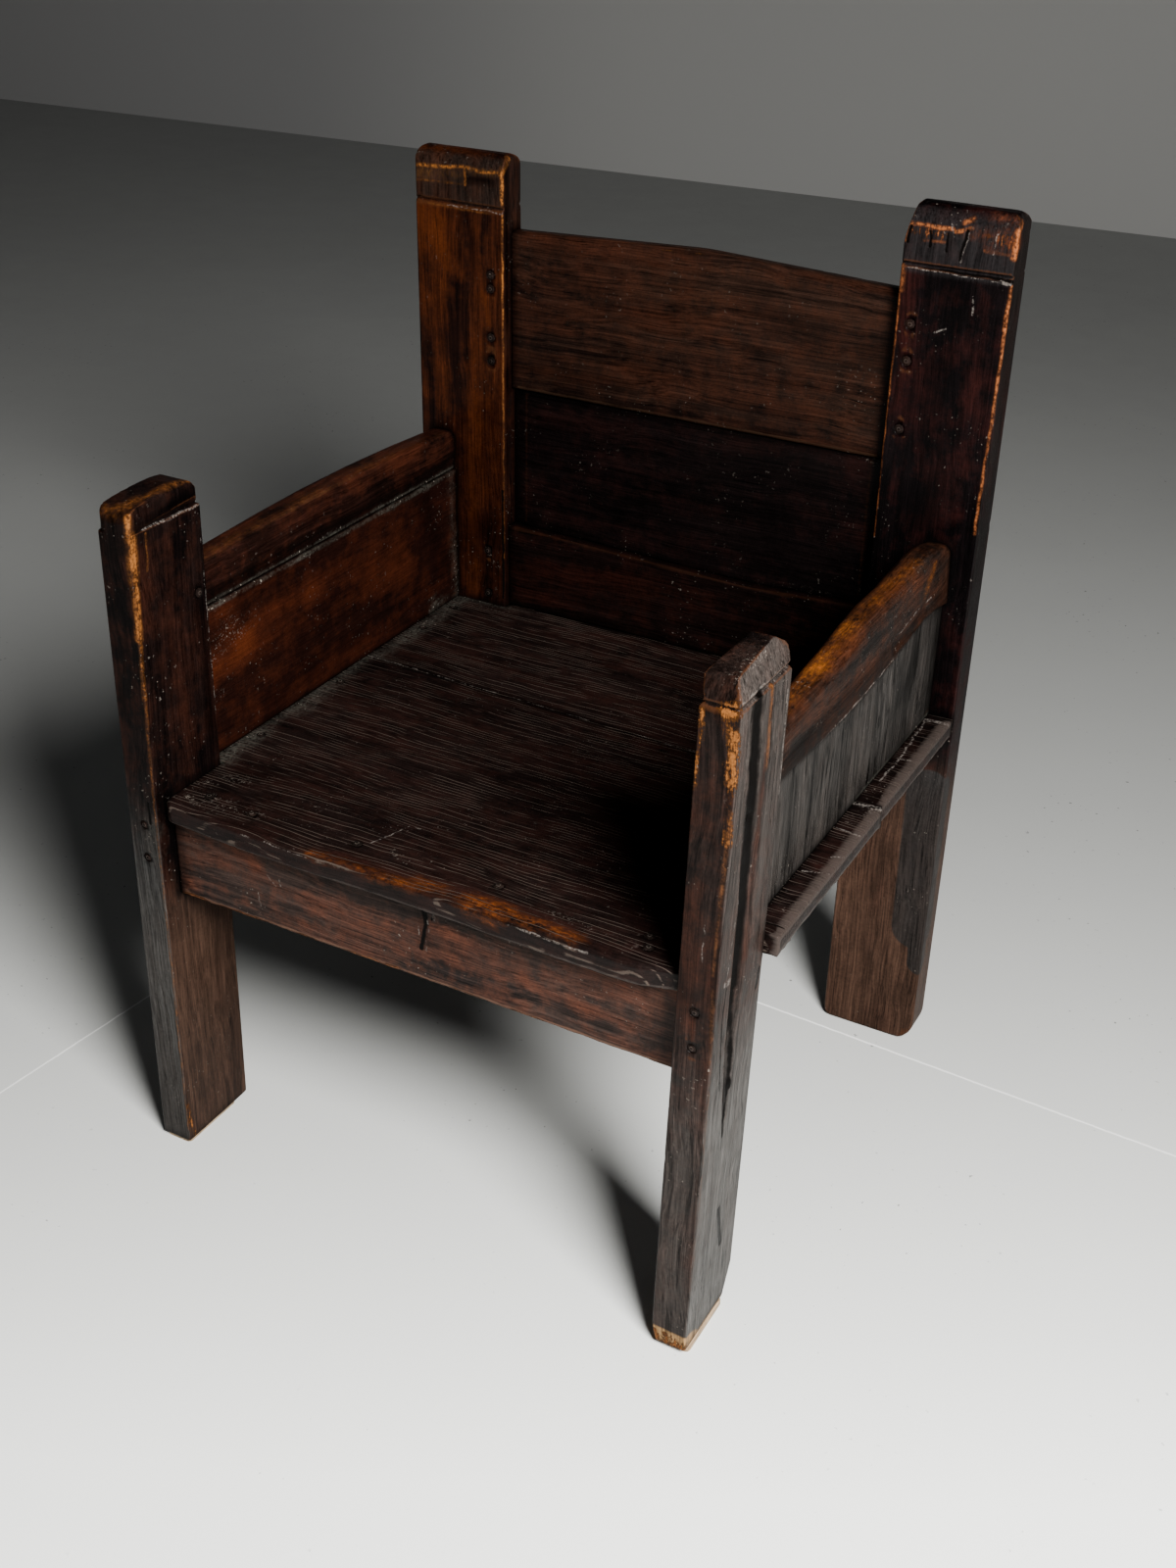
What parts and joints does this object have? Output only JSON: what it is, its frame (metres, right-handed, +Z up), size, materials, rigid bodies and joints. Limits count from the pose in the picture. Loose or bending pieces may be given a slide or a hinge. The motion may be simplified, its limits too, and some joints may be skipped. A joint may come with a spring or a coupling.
{
  "type": "plank armchair",
  "caption": "Low antique plank armchair with pegged boards, side panels under wavy arm rails and rounded post heads.",
  "frame": {"origin": "on the floor, under the middle of the chair's overall box", "axes": "+Z up, +X to the right as seen from the front, +Y to the back"},
  "size_m": [0.65, 0.585, 0.928],
  "materials": {
    "post_wood": "waxed, worn to gold on the arrises, semi-gloss",
    "back_board_wood": "waxed, semi-gloss, long wavy grain",
    "arm_wood": "waxed, polished by hands, semi-gloss",
    "panel_wood": "waxed, semi-gloss, scratched",
    "seat_wood": "worn, raised grain, low sheen",
    "rail_wood": "waxed, knotty, semi-gloss",
    "hidden_wood": "dry, sawn, matte",
    "peg_wood": "end grain, waxed",
    "foot_pad": "worn, matte"
  },
  "bodies": {
    "root": {"front_left_post": "post_wood", "front_right_post": "post_wood", "back_left_post": "post_wood", "back_right_post": "post_wood", "lower_back_board": "back_board_wood", "middle_back_board": "back_board_wood", "crest_board": "back_board_wood", "left_arm_rail": "arm_wood", "right_arm_rail": "arm_wood", "left_side_panel": "panel_wood", "right_side_panel": "panel_wood", "front_seat_board": "seat_wood", "rear_seat_board": "seat_wood", "front_seat_rail": "rail_wood", "back_seat_rail": "hidden_wood", "left_seat_bearer": "hidden_wood", "right_seat_bearer": "hidden_wood", "crest_pegs": "peg_wood", "lower_back_pegs": "peg_wood", "front_rail_pegs": "peg_wood", "arm_rail_pegs": "peg_wood", "seat_pegs": "peg_wood", "front_left_foot_pad": "foot_pad", "front_right_foot_pad": "foot_pad"}
  },
  "joints": []
}
